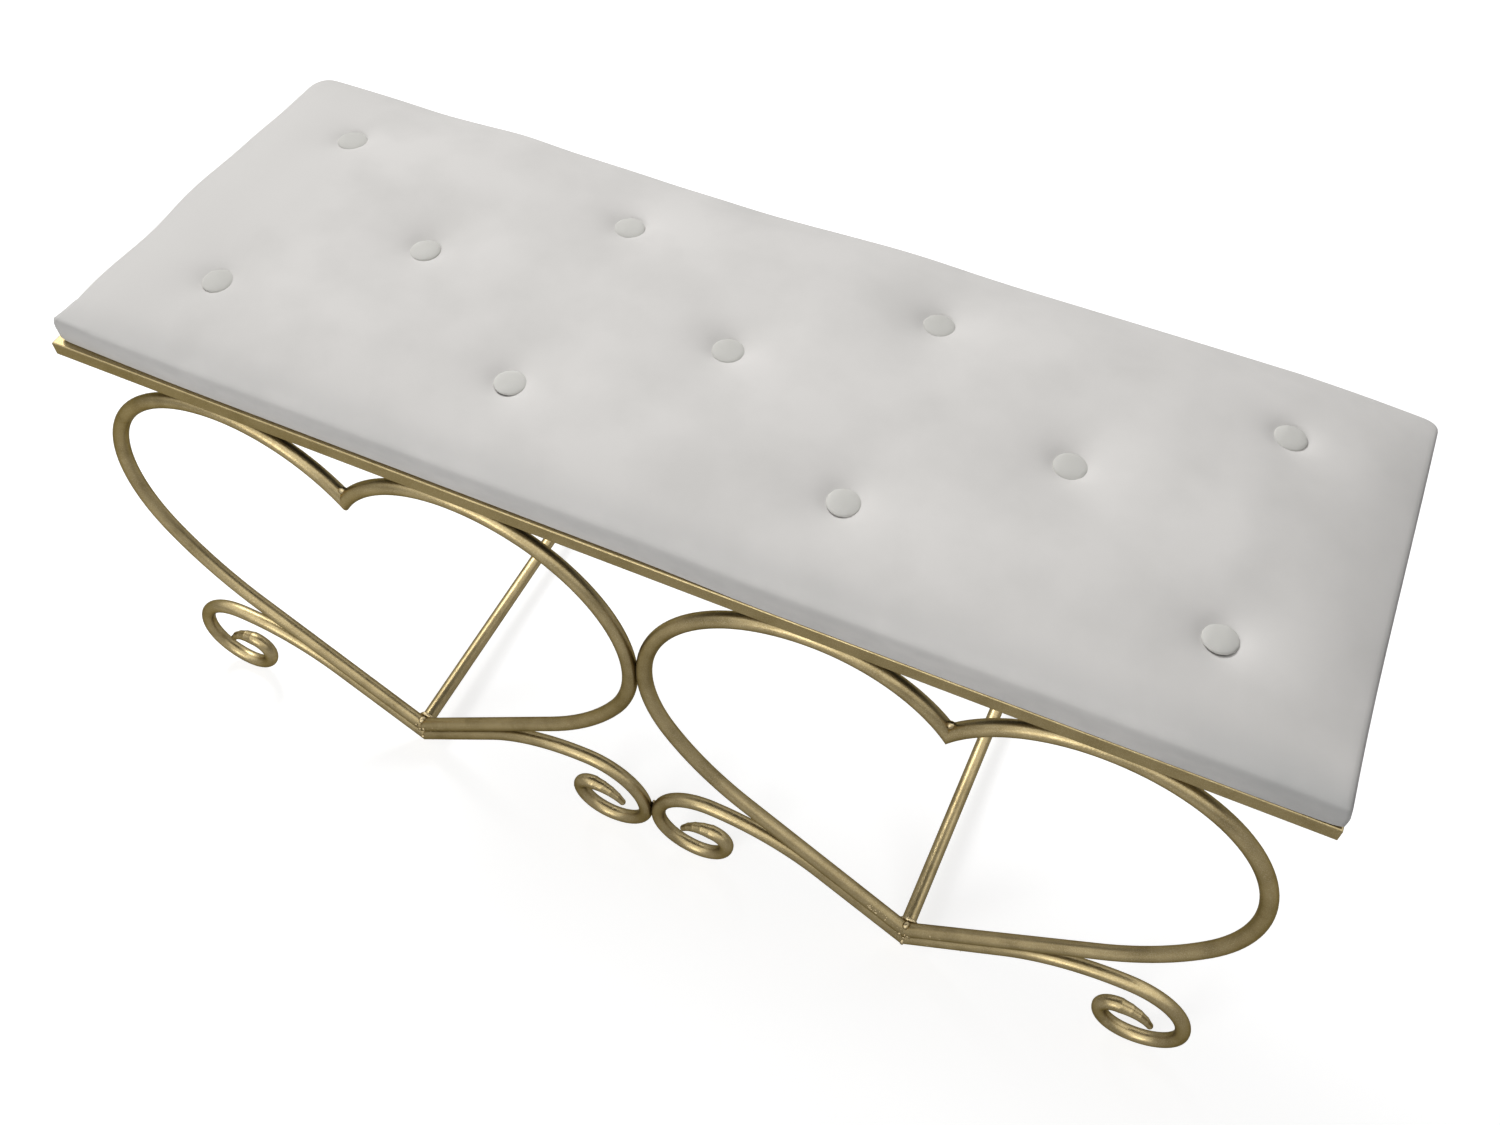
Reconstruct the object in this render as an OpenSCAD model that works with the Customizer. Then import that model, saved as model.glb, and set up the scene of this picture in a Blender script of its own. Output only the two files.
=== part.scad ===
// Upholstered bench: a button-tufted seat on a welded frame of bent round rod.
// The front and the back panel each have two hearts standing on scrolled feet.
// X runs along the bench, the front is at -Y, and Z = 0 is the floor.

/* [Frame] */
// Overall length of the rail frame
bench_l = 1000; // [940:5:1100]
// Overall depth of the rail frame
bench_d = 360; // [320:5:440]
// Height of the square rail tube
rail_h = 13; // [10:0.5:20]
// Width of the square rail tube, seen from above
rail_w = 13; // [12:0.5:20]
// Wall of the rail tube
rail_wall = 1.5; // [1:0.1:2.5]
// Outer corner radius of the rail tube
rail_edge_r = 1.2; // [0.6:0.1:2]
// Diameter of the stretchers between the front and back tips
stretcher_d = 13; // [8:0.1:14]

/* [Hearts] */
// Diameter of the bent rod
rod_d = 13; // [9:0.1:15]
// Drop of a heart's tip below the rail, to the rod's centre line
heart_drop = 406; // [380:1:430]
// Bend radius of a lobe, to the centre line
lobe_r = 140; // [120:1:150]
// Depth of the cleft below the tops of the lobes
cleft_depth = 53; // [40:1:64]
// Turn of the lobe's bend past the heart's side
side_turn = 30; // [20:1:45]
// Bend radius of the shoulder that leads into the straight flank
side_r = 250; // [200:5:330]

/* [Scrolled feet] */
// Bend radius over the outer top of a scroll
scroll_top_r = 55; // [48:1:62]
// Bend radius under the outer bottom of a scroll
scroll_bottom_r = 38; // [34:1:44]
// Bend radius under the inner bottom of a scroll
scroll_back_r = 30.5; // [27:0.5:36]
// Bend radius of the scroll's eye
scroll_eye_r = 15; // [11:0.5:22]
// Height of the scrolls clear of the floor
scroll_lift = 2; // [1:0.5:8]
// Length of the drawn-out end
taper_l = 34; // [20:1:40]
// Turn of the drawn-out end
taper_turn = 58; // [30:1:75]
// Diameter of the rounded tip
taper_tip_d = 6; // [4:0.5:8]
// Depth ground off the foot's corner, which leaves the flat it stands on
foot_grind = 1.2; // [0.5:0.1:2.5]

/* [Welds] */
// Radius of the larger weld beads
bead_r = 3.2; // [2:0.1:4]
// Radius of the fillet weld beads
fillet_r = 2; // [1.2:0.1:3]
// Length of the fillet weld beads
fillet_l = 24; // [10:1:40]

/* [Seat tabs] */
// Length of a tab along its rail
tab_l = 40; // [30:1:60]
// Metal of a tab beyond the middle of its screw hole
tab_margin = 9; // [7:0.5:14]
// Thickness of a tab
tab_t = 3; // [2:0.5:5]
// Distance of the end tabs' screws from the ends of the bench
tab_end = 60; // [50:5:120]
// Hole for the seat screw
tab_hole_d = 5; // [4.5:0.1:6]
// Shank diameter of a seat screw
screw_d = 4; // [3:0.1:4.4]
// Head diameter of a seat screw
screw_head_d = 9; // [7:0.5:11]
// Head height of a seat screw
screw_head_h = 2.6; // [2:0.1:4]
// Length of a seat screw below its head
screw_l = 14; // [10:1:16]

/* [Seat] */
// Gap from the frame's outer face to the pad's fullest line
pad_inset = 3; // [1:0.5:10]
// Height of the crown above the rail
crown_h = 45; // [38:1:60]
// Height of the pad's upper edge above the rail
edge_h = 17; // [13:1:20]
// Height of the pad's fullest line above the rail
full_h = 9; // [5:1:11]
// Draw of the upper edge in from the fullest line
edge_draw = 4; // [1:0.5:8]
// Draw of the pad's foot in from the fullest line
foot_draw = 4; // [1:0.5:8]
// Corner radius of the pad
pad_corner_r = 15; // [8:1:30]
// Width of the roll from the edge up to the crown
roll_w = 90; // [60:5:110]
// Thickness of the cover cloth
cloth_t = 1.2; // [0.8:0.1:2]
// Width of cloth turned under the board
lip_w = 24; // [12:1:40]
// Thickness of the seat board
board_t = 12; // [9:1:15]
// Distance of the board's edge inside the pad's foot
board_margin = 5; // [3:0.5:10]
// Thickness of the cloth that covers the underside
dust_t = 0.6; // [0.3:0.1:1]

/* [Tufting] */
// Distance of the end buttons from the ends of the bench
tuft_end = 104; // [80:1:120]
// Distance of the front and back rows from the sides of the bench
tuft_side = 85.5; // [75:0.5:100]
// Depth of a tuft below the crown around it
tuft_depth = 10; // [4:1:14]
// Width over which a tuft fades into the crown
tuft_fade = 34; // [20:1:50]
// Button diameter
button_d = 25.5; // [18:0.5:30]
// Button thickness at its rim
button_t = 3.6; // [2.5:0.1:5]
// Radius of the button's rolled rim
button_edge_r = 1.4; // [0.8:0.1:1.8]
// Diameter of the shank under a button
shank_d = 4; // [3:0.1:5]
// Length of the shank under a button
shank_l = 9; // [6:0.5:12]
// Diameter of the tufting twine
twine_d = 1.8; // [1:0.1:2.5]
// Diameter of the washer a twine is tied to
washer_d = 16; // [10:1:22]
// Thickness of the washer a twine is tied to
washer_t = 1; // [0.6:0.1:1.1]

/* [Hidden] */

gold = [0.56, 0.49, 0.33];
weld_gold = [0.62, 0.55, 0.38];
cloth_white = [0.82, 0.81, 0.79];
button_white = [0.78, 0.78, 0.75];
wood = [0.72, 0.58, 0.40];
foam_yellow = [0.90, 0.86, 0.66];
dust_black = [0.10, 0.10, 0.11];
zinc = [0.70, 0.71, 0.72];

rod_r = rod_d/2;
heart_w = bench_l/4;
panel_y = bench_d/2 - rail_w/2;

// The heart in its own plane: x from the heart's middle line, y up from the rail's underside.
lobe_c = [heart_w - rod_r - lobe_r, -rod_r - lobe_r];
lobe_top = [lobe_c.x, -rod_r];
cleft_r = (lobe_c.x*lobe_c.x + cleft_depth*cleft_depth)/(2*cleft_depth);
cleft_turn = asin(lobe_c.x/cleft_r);
cleft = [0, -rod_r - cleft_depth];
side_c = lobe_c + (side_r - lobe_r)*[-cos(side_turn), sin(side_turn)];
tip = [0, -heart_drop];
tip_reach = norm(side_c - tip);
slope = atan2(side_c.y - tip.y, side_c.x - tip.x) - asin(side_r/tip_reach);
flank_l = sqrt(tip_reach*tip_reach - side_r*side_r);
along = [cos(slope), sin(slope)];

// The foot rod lies against the underside of the flank and meets its pair in a mitre below the tip.
foot_tip = [0, tip.y - rod_d/cos(slope)];
floor_z = foot_tip.y - rod_r/cos(slope) + foot_grind;
leg_h = -floor_z;
scroll_bottom_z = floor_z + scroll_lift + rod_r;
scroll_top = [heart_w - rod_r - scroll_top_r, scroll_bottom_z + scroll_bottom_r + scroll_top_r];
crest_x = (scroll_top.y - foot_tip.y)/tan(slope);
crest_t = scroll_top.x - crest_x;
hump_r = crest_t/tan(slope/2);
foot_l = crest_x/cos(slope) - crest_t;

// Each change of bend is bridged by a short collar, a hair larger than the rod.
collar_l = 0.4;
collar_over = 0.02;
mitre_over = rod_d;
arc_fn = 160;
rod_fn = 40;
bead_fn = 48;
small_fn = 24;

// Length by which a cutter runs past a face that it goes through.
past = 1;

rail_top = leg_h + rail_h;

// One stretch is [radius, turn], bent clockwise, or [0, length] where it is straight.
function stretch_end(p, h, s) = s[0] == 0
  ? p + s[1]*[cos(h), sin(h)]
  : p + s[0]*[sin(h) - sin(h - s[1]), cos(h - s[1]) - cos(h)];
function stretch_heading(h, s) = s[0] == 0 ? h : h - s[1];
function knots(segs, p, h, i = 0) = i == len(segs)
  ? [[p, h]]
  : concat([[p, h]], knots(segs, stretch_end(p, h, segs[i]), stretch_heading(h, segs[i]), i + 1));

module at(p) translate([p.x, 0, p.y]) children();

module facing(h) rotate([0, 90 - h, 0]) children();

module stretch(p, h, s) {
  if (s[0] == 0) {
    at(p) facing(h) translate([0, 0, collar_l/4]) cylinder(d = rod_d, h = s[1] - collar_l/2, $fn = rod_fn);
  } else {
    trim = asin(collar_l/4/s[0]);
    at(p + s[0]*[sin(h), -cos(h)])
      rotate([90, 0, 0])
        rotate_extrude(angle = s[1] - 2*trim, start = 90 + h - s[1] + trim, $fn = arc_fn)
          translate([s[0], 0]) circle(d = rod_d, $fn = rod_fn);
  }
}

module bent_rod(segs, p, h) {
  k = knots(segs, p, h);
  for (i = [0:len(segs) - 1]) stretch(k[i][0], k[i][1], segs[i]);
  for (i = [1:len(segs) - 1]) at(k[i][0]) facing(k[i][1]) collar();
}

module collar() cylinder(d = rod_d + 2*collar_over, h = collar_l, center = true, $fn = rod_fn);

// The half of the heart's plane from its middle line out, above the floor.
module outer_half() {
  translate([0, -2*rod_d, floor_z]) cube([heart_w + rod_d, 4*rod_d, 2*leg_h]);
}

cleft_over = asin(mitre_over/cleft_r);
heart_segs = [
  [cleft_r, cleft_turn + cleft_over], [lobe_r, 90 + side_turn],
  [side_r, 90 - side_turn - slope], [0, flank_l + mitre_over]
];
heart_start = lobe_top - cleft_r*[sin(cleft_turn + cleft_over), 1 - cos(cleft_turn + cleft_over)];

module heart_rod() {
  intersection() {
    bent_rod(heart_segs, heart_start, cleft_turn + cleft_over);
    outer_half();
  }
}

foot_segs = [
  [0, foot_l + mitre_over], [hump_r, slope], [scroll_top_r, 90],
  [scroll_bottom_r, 90], [scroll_back_r, 90]
];
foot_start = foot_tip - mitre_over*along;

// The eye is too tight for a collar, so a ball fills its joints and those of the drawn-out end.
eye = [scroll_eye_r, 90];
eye_knots = [for (i = [0, 1]) knots(concat(foot_segs, [eye]), foot_start, slope)[len(foot_segs) + i]];
ball_over = 4*collar_over;

module joint_ball(p, h, r) at(p) facing(h) sphere(r = r + ball_over, $fn = rod_fn);

// The drawn-out end of a foot: cones that turn a little each time.
taper_steps = 4;
function taper_point(i) = i == 0
  ? eye_knots[1][0]
  : taper_point(i - 1) + taper_l/taper_steps*[cos(taper_heading(i - 1)), sin(taper_heading(i - 1))];
function taper_heading(i) = eye_knots[1][1] - taper_turn*(i + 0.5)/taper_steps;
function taper_r(i) = rod_r + (taper_tip_d/2 - rod_r)*i/taper_steps;

module drawn_end() {
  for (i = [0:taper_steps - 1]) {
    at(taper_point(i)) facing(taper_heading(i))
      cylinder(r1 = taper_r(i), r2 = taper_r(i + 1), h = taper_l/taper_steps, $fn = rod_fn);
    joint_ball(taper_point(i), taper_heading(i), taper_r(i));
  }
  joint_ball(taper_point(taper_steps), taper_heading(taper_steps), taper_r(taper_steps));
}

module foot_rod() {
  intersection() {
    union() {
      bent_rod(foot_segs, foot_start, slope);
      joint_ball(eye_knots[0][0], eye_knots[0][1], rod_r);
      stretch(eye_knots[0][0], eye_knots[0][1], eye);
      drawn_end();
    }
    outer_half();
  }
}

// Puts a heart-plane shape in its panel. Face is -1 at the front and end is -1 at the left.
// Out is 1 for the half towards the end of the bench.
module placed(face, end, out) {
  translate([end*heart_w, face*panel_y, leg_h])
    mirror([end*out < 0 ? 1 : 0, 0, 0])
      mirror([0, face > 0 ? 1 : 0, 0]) children();
}

module heart(face, end, out) color(gold) placed(face, end, out) heart_rod();

module foot(face, end, out) color(gold) placed(face, end, out) foot_rod();

// A rectangle with its low corner at the origin and all four corners rounded.
module rounded(size, r) {
  translate([r, 0]) square([size.x - 2*r, size.y]);
  translate([0, r]) square([size.x, size.y - 2*r]);
  for (x = [r, size.x - r], y = [r, size.y - r])
    translate([x, y]) circle(r = r, $fn = bead_fn);
}

// The hollow tube, with its outer face at x = 0 and its underside at y = 0.
module rail_section() {
  difference() {
    rounded([rail_w, rail_h], rail_edge_r);
    translate([rail_wall, rail_wall]) square([rail_w - 2*rail_wall, rail_h - 2*rail_wall]);
  }
}

// A rail of length l along X, with its outer face at y = -reach and both ends mitred.
module mitred_rail(l, reach) {
  intersection() {
    translate([-l/2, -reach, 0]) rotate([90, 0, 90]) linear_extrude(l) rail_section();
    translate([0, -reach, 0]) rotate(45) cube([l*sqrt(0.5), l*sqrt(0.5), 4*rail_h], center = true);
  }
}

module long_rail(face) color(gold) translate([0, 0, leg_h])
  mirror([0, face > 0 ? 1 : 0, 0]) mitred_rail(bench_l, bench_d/2);

module end_rail(end) color(gold) translate([0, 0, leg_h])
  rotate(end > 0 ? 90 : -90) mitred_rail(bench_d, bench_l/2);

module stretcher(end) color(gold)
  translate([end*heart_w, -panel_y + rod_r, leg_h + tip.y]) rotate([-90, 0, 0])
    cylinder(d = stretcher_d, h = 2*panel_y - rod_d, $fn = rod_fn);

// Repeats a heart-plane shape in all four hearts, and in both halves of each when both is true.
module every_heart(both = false) {
  for (face = [-1, 1], end = [-1, 1], out = both ? [-1, 1] : [1]) placed(face, end, out) children();
}

module both_halves() {
  for (m = [0, 1]) mirror([m, 0, 0]) children();
}

// The run of a rod near a weld, which the bead is cut back to.
weld_fn = 240;
module ring_run(middle, r) at(middle) rotate([90, 0, 0])
  rotate_extrude($fn = 2*weld_fn) translate([r, 0]) circle(d = rod_d, $fn = weld_fn/4);

module straight_run(p) at(p - mitre_over*along) facing(slope)
  cylinder(d = rod_d, h = foot_l + mitre_over, $fn = weld_fn);

bead_sink = bead_r/4;

module cleft_welds() color(weld_gold) every_heart() difference() {
  at(cleft + [0, rod_r/cos(cleft_turn) - bead_sink]) sphere(r = bead_r, $fn = bead_fn);
  both_halves() ring_run([lobe_top.x, lobe_top.y - cleft_r], cleft_r);
}

module tip_welds() color(weld_gold) every_heart() difference() {
  at(tip + [0, rod_r/cos(slope) - bead_sink]) sphere(r = bead_r, $fn = bead_fn);
  both_halves() straight_run(tip);
}

// Fillet beads lie on the hidden side of a panel, this far from the plane of its rods.
fillet_y = 0.7*rod_r;

module lobe_welds() color(weld_gold) every_heart(true) difference() {
  translate([lobe_top.x - fillet_l/2, fillet_y, -fillet_r/2]) rotate([0, 90, 0])
    cylinder(r = fillet_r, h = fillet_l, $fn = bead_fn);
  ring_run(lobe_c, lobe_r);
  translate([lobe_top.x - fillet_l, 0, 0]) cube([2*fillet_l, rod_d, rod_d]);
}

// Beads where neighbouring lobes and neighbouring scrolls touch.
module side_weld(z, l) difference() {
  translate([0, fillet_y, z - l/2]) cylinder(r = fillet_r, h = l, $fn = bead_fn);
  both_halves() translate([-heart_w, 0, 0]) children();
}

module side_welds() color(weld_gold) for (face = [-1, 1])
  translate([0, face*panel_y, leg_h]) mirror([0, face > 0 ? 1 : 0, 0]) {
    side_weld(lobe_c.y, fillet_l) ring_run(lobe_c, lobe_r);
    side_weld(scroll_top.y - scroll_top_r + fillet_l/4, fillet_l/2)
      ring_run(scroll_top - [0, scroll_top_r], scroll_top_r);
  }

module flank_welds() color(weld_gold) every_heart(true) difference() {
  at((tip + foot_tip)/2 + foot_l/2*along) facing(slope) translate([0, fillet_y, -fillet_l/2])
    cylinder(r = fillet_r, h = fillet_l, $fn = bead_fn);
  straight_run(tip);
  straight_run(foot_tip);
}

// A ring of weld round each end of a stretcher.
stretcher_bead = [stretcher_d/2 + fillet_r/3, rod_r + fillet_r/3];

module stretcher_welds() color(weld_gold) every_heart() difference() {
  at(tip) translate([0, stretcher_bead.y, 0]) rotate([90, 0, 0])
    rotate_extrude($fn = weld_fn) translate([stretcher_bead.x, 0]) circle(r = fillet_r, $fn = bead_fn);
  at(tip) rotate([-90, 0, 0]) cylinder(d = stretcher_d, h = 4*rod_d, $fn = weld_fn);
  both_halves() {
    straight_run(tip);
    straight_run(foot_tip);
  }
}

// The pad is measured up from the top of the rails.
pad_l = bench_l - 2*pad_inset;
pad_w = bench_d - 2*pad_inset;
full_half = [pad_l/2, pad_w/2];
upper_half = full_half - [edge_draw, edge_draw];
foot_half = full_half - [foot_draw, foot_draw];
lip_half = foot_half - [lip_w, lip_w];
board_half = foot_half - [board_margin, board_margin];
layer_gap = 0.3;

// Three rows of tufts, the middle row set half a pitch over, each on a flat a little wider than its button.
tuft_pitch_x = (bench_l - 2*tuft_end)/3;
tuft_pitch_y = bench_d/2 - tuft_side;
tufts = [for (row = [-1:1]) for (place = [1:row == 0 ? 3 : 4]) tuft(row, place)];
function tuft(row, place) = [(place - (row == 0 ? 2 : 2.5))*tuft_pitch_x, row*tuft_pitch_y];
tuft_half = button_d/2 + 1;

// Tabs welded inside the long rails, level with the top of the rails but for the cloth that lies on them.
// Their screws pass just inside the cover that is turned under the board.
tab_top = rail_top - dust_t;
tab_in = bench_d/2 - rail_w;
tab_x = bench_l/2 - tab_end;
screw_y = lip_half.y - tab_hole_d;
tab_w = tab_in - screw_y + tab_margin;
screw_places = [for (x = [-tab_x, 0, tab_x], face = [-1, 1]) [x, face*screw_y]];
screw_cross = [screw_head_d/2, 1];

module seat_tab(face, x) color(gold)
  translate([x, face*tab_in, tab_top - tab_t]) mirror([0, face > 0 ? 1 : 0, 0]) difference() {
    translate([-tab_l/2, 0, 0]) cube([tab_l, tab_w, tab_t]);
    translate([0, tab_in - screw_y, -past]) cylinder(d = tab_hole_d, h = tab_t + 2*past, $fn = small_fn);
  }

module seat_screw() difference() {
  union() {
    cylinder(d = screw_head_d, h = screw_head_h, $fn = bead_fn);
    cylinder(d = screw_d, h = screw_head_h + screw_l, $fn = small_fn);
  }
  for (a = [0, 90]) rotate(a)
    cube([screw_cross.x, screw_cross.y, screw_head_h], center = true);
}

module seat_screws() color(zinc)
  for (p = screw_places) translate([p.x, p.y, tab_top - tab_t - screw_head_h]) seat_screw();

// The crown rises from the edge over roll_w and sinks again round every tuft.
roll_power = 1.5;
function roll(d) = 1 - pow(1 - min(1, max(0, d)/roll_w), roll_power);
function fade(d) = exp(-pow(max(0, d - sqrt(2)*tuft_half)/tuft_fade, 2));
function crown(p) = edge_h + (crown_h - edge_h)*roll(upper_half.x - abs(p.x))*roll(upper_half.y - abs(p.y));
function pad_z(p) = crown(p) - tuft_depth*max([for (t = tufts) fade(norm(p - t))]);
function on_flat(p, t) = max(abs(p.x - t.x), abs(p.y - t.y)) < tuft_half + layer_gap;
function flat_z(p) = let(near = [for (t = tufts) if (on_flat(p, t)) t]) pad_z(near == [] ? p : near[0]);

// Lines of the pad's grid: both sides of every tuft, half-way between tufts, and closer at the rolled edge.
function grid_lines(pitch, n, half) = let(
  last = n*pitch + tuft_half,
  corner = half - pad_corner_r)
  [for (s = [
    -half, -corner, -(last + corner)/2,
    for (c = [-n:n]) each concat([c*pitch - tuft_half, c*pitch + tuft_half], c < n ? [(c + 0.5)*pitch] : []),
    (last + corner)/2, corner, half]) s/half];
lines_x = grid_lines(tuft_pitch_x/2, 3, upper_half.x);
lines_y = grid_lines(tuft_pitch_y, 1, upper_half.y);
nx = len(lines_x);
ny = len(lines_y);

// The place of grid node n on an outline of the given half size, with its corners cut back to the round.
corner_cut = pad_corner_r*(1 - cos(45));
function is_corner(n) = abs(lines_x[n.x]) == 1 && abs(lines_y[n.y]) == 1;
function grid_place(n, half) = let(cut = is_corner(n) ? corner_cut : 0)
  [lines_x[n.x]*(half.x - cut), lines_y[n.y]*(half.y - cut)];
edge_nodes = concat(
  [for (i = [0:nx - 2]) [i, 0]], [for (j = [0:ny - 2]) [nx - 1, j]],
  [for (i = [nx - 1:-1:1]) [i, ny - 1]], [for (j = [ny - 1:-1:1]) [0, j]]);
edge_n = len(edge_nodes);
top_n = nx*ny;

// Points of the crowned top, pulled in by inset and sunk by the same, and of a level ring under its edge.
function top_points(inset) = [for (j = [0:ny - 1], i = [0:nx - 1])
  let(p = grid_place([i, j], upper_half - [inset, inset]))
  [p.x, p.y, flat_z(grid_place([i, j], upper_half)) - inset]];
function ring_points(half, z) = [for (n = edge_nodes) let(p = grid_place(n, half)) [p.x, p.y, z]];

function top_faces(first, up) = [for (j = [0:ny - 2], i = [0:nx - 2])
  let(a = first + j*nx + i, b = a + 1, c = a + nx + 1, d = a + nx)
  each up ? [[a, d, c], [a, c, b]] : [[a, c, d], [a, b, c]]];
function top_edge(first) = [for (n = edge_nodes) first + n.y*nx + n.x];
function ring(k) = [for (i = [0:edge_n - 1]) top_n + k*edge_n + i];
function band_faces(a, b) = [for (k = [0:edge_n - 1]) let(m = (k + 1)%edge_n)
  each [[a[k], a[m], b[m]], [a[k], b[m], b[k]]]];

// The cover: a cloth shell over the top and sides, turned under the board all round.
module cover_shell() {
  cloth = [cloth_t, cloth_t];
  rings = [
    [full_half, full_h], [foot_half, 0], [lip_half, 0], [lip_half, cloth_t],
    [foot_half - cloth, cloth_t], [full_half - cloth, full_h]
  ];
  inner = top_n + len(rings)*edge_n;
  chain = concat([top_edge(0)], [for (k = [0:len(rings) - 1]) ring(k)], [top_edge(inner)]);
  polyhedron(
    points = concat(top_points(0), [for (r = rings) each ring_points(r[0], r[1])], top_points(cloth_t)),
    faces = concat(
      top_faces(0, true),
      [for (k = [0:len(chain) - 2]) each band_faces(chain[k], chain[k + 1])],
      top_faces(inner, false)));
}

module foam_block() {
  inset = cloth_t + layer_gap;
  rings = [[full_half - [inset, inset], full_h], [foot_half - [inset, inset], inset]];
  polyhedron(
    points = concat(top_points(inset), [for (r = rings) each ring_points(r[0], r[1])]),
    faces = concat(
      top_faces(0, true), band_faces(top_edge(0), ring(0)), band_faces(ring(0), ring(1)), [ring(1)]));
}

module at_tufts() {
  for (t = tufts) translate([t.x, t.y, rail_top]) children();
}

module at_screws() {
  for (p = screw_places) translate([p.x, p.y, tab_top]) children();
}

module seat_cover() color(cloth_white) difference() {
  translate([0, 0, rail_top]) cover_shell();
  at_tufts() translate([0, 0, edge_h - tuft_depth])
    cylinder(d = shank_d + layer_gap, h = crown_h, $fn = small_fn);
}

module foam_pad() color(foam_yellow) difference() {
  translate([0, 0, rail_top]) foam_block();
  board_block(layer_gap, 0, cloth_t + board_t + layer_gap);
  at_tufts() cylinder(d = shank_d + layer_gap, h = 2*crown_h, $fn = small_fn);
}

// The board's outline, grown by a gap, from this height above the rails up to another.
// Its corners are rounded like the pad's, so that they don't cut the cloth.
module board_block(gap, from, to) let(half = board_half + [gap, gap])
  translate([-half.x, -half.y, rail_top + from])
    linear_extrude(to - from) rounded(2*half, pad_corner_r + gap);

module seat_board() color(wood) difference() {
  board_block(0, cloth_t, cloth_t + board_t);
  at_tufts() cylinder(d = twine_d + layer_gap, h = 2*board_t, $fn = small_fn);
  at_screws() cylinder(d = screw_d + layer_gap, h = screw_l - tab_t + past, $fn = small_fn);
}

module dust_cover() color(dust_black) difference() {
  translate([-bench_l/2 + rail_w + layer_gap, -tab_in + layer_gap, tab_top])
    cube([bench_l - 2*(rail_w + layer_gap), 2*(tab_in - layer_gap), dust_t]);
  at_screws() translate([0, 0, -past]) cylinder(d = tab_hole_d, h = dust_t + 2*past, $fn = small_fn);
}

// A button is a cloth-covered disc with a rolled rim, and a shank that goes down into the foam.
module button(row, place) color(button_white) translate([0, 0, rail_top + pad_z(tuft(row, place))])
  translate(tuft(row, place)) {
    rotate_extrude($fn = bead_fn) {
      square([button_d/2 - button_edge_r, button_t]);
      square([button_d/2, button_t - button_edge_r]);
      translate([button_d/2 - button_edge_r, button_t - button_edge_r])
        circle(r = button_edge_r, $fn = small_fn);
    }
    translate([0, 0, -shank_l]) cylinder(d = shank_d, h = shank_l + button_t/2, $fn = small_fn);
  }

// Each twine runs from its button's shank through foam and board to a washer pulled up under the board.
washer_z = cloth_t - washer_t;

module tuft_twines() color(cloth_white) for (t = tufts) translate([t.x, t.y, rail_top + washer_z])
  cylinder(d = twine_d, h = pad_z(t) - shank_l - washer_z, $fn = small_fn);

module twine_washers() color(zinc) at_tufts() translate([0, 0, washer_z]) difference() {
  cylinder(d = washer_d, h = washer_t, $fn = bead_fn);
  translate([0, 0, -past]) cylinder(d = twine_d + layer_gap, h = washer_t + 2*past, $fn = small_fn);
}

long_rail(-1);  // front_rail
long_rail(1);  // back_rail
end_rail(-1);  // left_rail
end_rail(1);  // right_rail
heart(-1, -1, 1);  // heart_front_left_outer
heart(-1, -1, -1);  // heart_front_left_inner
heart(-1, 1, -1);  // heart_front_right_inner
heart(-1, 1, 1);  // heart_front_right_outer
heart(1, -1, 1);  // heart_back_left_outer
heart(1, -1, -1);  // heart_back_left_inner
heart(1, 1, -1);  // heart_back_right_inner
heart(1, 1, 1);  // heart_back_right_outer
foot(-1, -1, 1);  // foot_front_left_outer
foot(-1, -1, -1);  // foot_front_left_inner
foot(-1, 1, -1);  // foot_front_right_inner
foot(-1, 1, 1);  // foot_front_right_outer
foot(1, -1, 1);  // foot_back_left_outer
foot(1, -1, -1);  // foot_back_left_inner
foot(1, 1, -1);  // foot_back_right_inner
foot(1, 1, 1);  // foot_back_right_outer
stretcher(-1);  // left_stretcher
stretcher(1);  // right_stretcher
cleft_welds();
tip_welds();
lobe_welds();
side_welds();
flank_welds();
stretcher_welds();
seat_tab(-1, -tab_x);  // tab_front_left
seat_tab(-1, 0);  // tab_front_middle
seat_tab(-1, tab_x);  // tab_front_right
seat_tab(1, -tab_x);  // tab_back_left
seat_tab(1, 0);  // tab_back_middle
seat_tab(1, tab_x);  // tab_back_right
seat_screws();
seat_board();
foam_pad();
seat_cover();
dust_cover();
button(-1, 1);  // button_front_1
button(-1, 2);  // button_front_2
button(-1, 3);  // button_front_3
button(-1, 4);  // button_front_4
button(0, 1);  // button_middle_1
button(0, 2);  // button_middle_2
button(0, 3);  // button_middle_3
button(1, 1);  // button_back_1
button(1, 2);  // button_back_2
button(1, 3);  // button_back_3
button(1, 4);  // button_back_4
tuft_twines();
twine_washers();
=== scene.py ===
"""An upholstered bench: a button-tufted seat on a welded frame of bent round rod."""

import random
from math import atan2, copysign, cos, exp, hypot, pi, radians, sin, sqrt

import bmesh
import bpy
import numpy as np
from mathutils import Matrix, Vector, noise


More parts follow.
